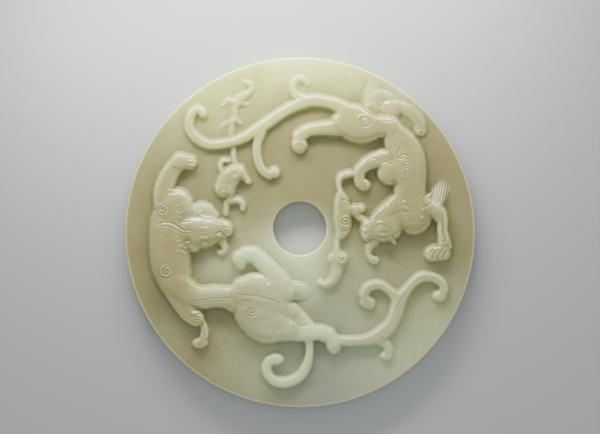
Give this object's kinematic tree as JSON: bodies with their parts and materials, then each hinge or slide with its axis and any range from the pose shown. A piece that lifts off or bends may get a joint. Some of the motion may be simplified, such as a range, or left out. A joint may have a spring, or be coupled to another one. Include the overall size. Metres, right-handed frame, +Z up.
{
  "type": "carved jade bi disc",
  "caption": "Pale jade disc pierced in the middle, with hornless dragons carved in high relief on one face and a plain flat back.",
  "frame": {"origin": "middle of the flat underside, under the centre of the round rim", "axes": "+Z up out of the carved face, +Y towards the top of the carving, +X to its right"},
  "size_m": [0.15, 0.15, 0.0115],
  "materials": {
    "jade": "polished, slightly waxy, with a duller ground"
  },
  "bodies": {
    "root": {"jade_bi_disc": "jade"}
  },
  "joints": []
}
